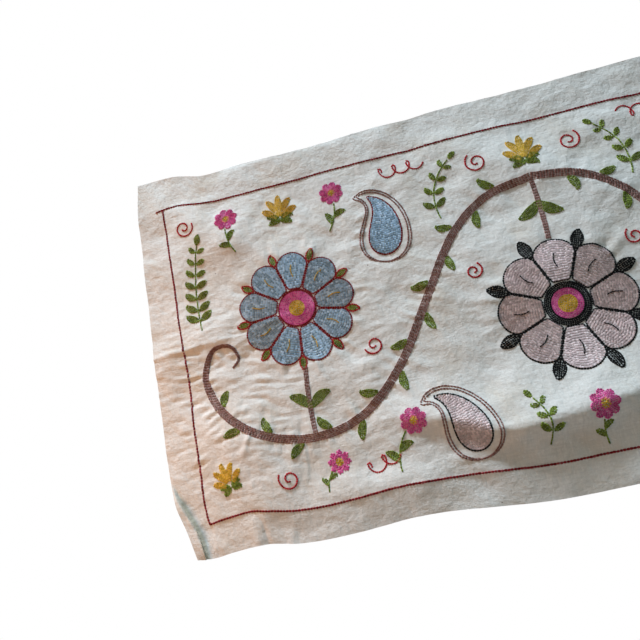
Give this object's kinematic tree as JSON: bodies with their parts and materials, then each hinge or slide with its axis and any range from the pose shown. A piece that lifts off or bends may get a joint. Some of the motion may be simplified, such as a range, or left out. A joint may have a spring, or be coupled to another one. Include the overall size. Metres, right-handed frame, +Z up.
{
  "type": "suzani wall hanging",
  "caption": "Embroidered undyed cotton wall hanging: a landscape sheet with a thin stitched border line, softly creased, held by its top edge against a wall.",
  "frame": {"origin": "middle of the top edge, on the wall side of the cloth", "axes": "+X along the length to the viewer's right, +Y into the wall, +Z up; the embroidered face looks towards -Y"},
  "size_m": [0.9274, 0.0221, 0.4566],
  "materials": {
    "cotton": "undyed cream plain weave, matte, creased, faintly stained",
    "thread_border_red": "dark red stranded cotton, chain stitch",
    "thread_bright_red": "bright red stranded cotton, chain stitch",
    "thread_blue": "greyed blue stranded cotton, chain stitch",
    "thread_taupe": "pinkish taupe stranded cotton, chain stitch",
    "thread_brown": "mauve brown stranded cotton, chain stitch",
    "thread_green": "olive green stranded cotton, chain stitch",
    "thread_magenta": "magenta stranded cotton, chain stitch",
    "thread_yellow": "golden yellow stranded cotton, chain stitch",
    "thread_black": "black stranded cotton, chain stitch"
  },
  "bodies": {
    "root": {"cotton_panel": "cotton"}
  },
  "joints": []
}
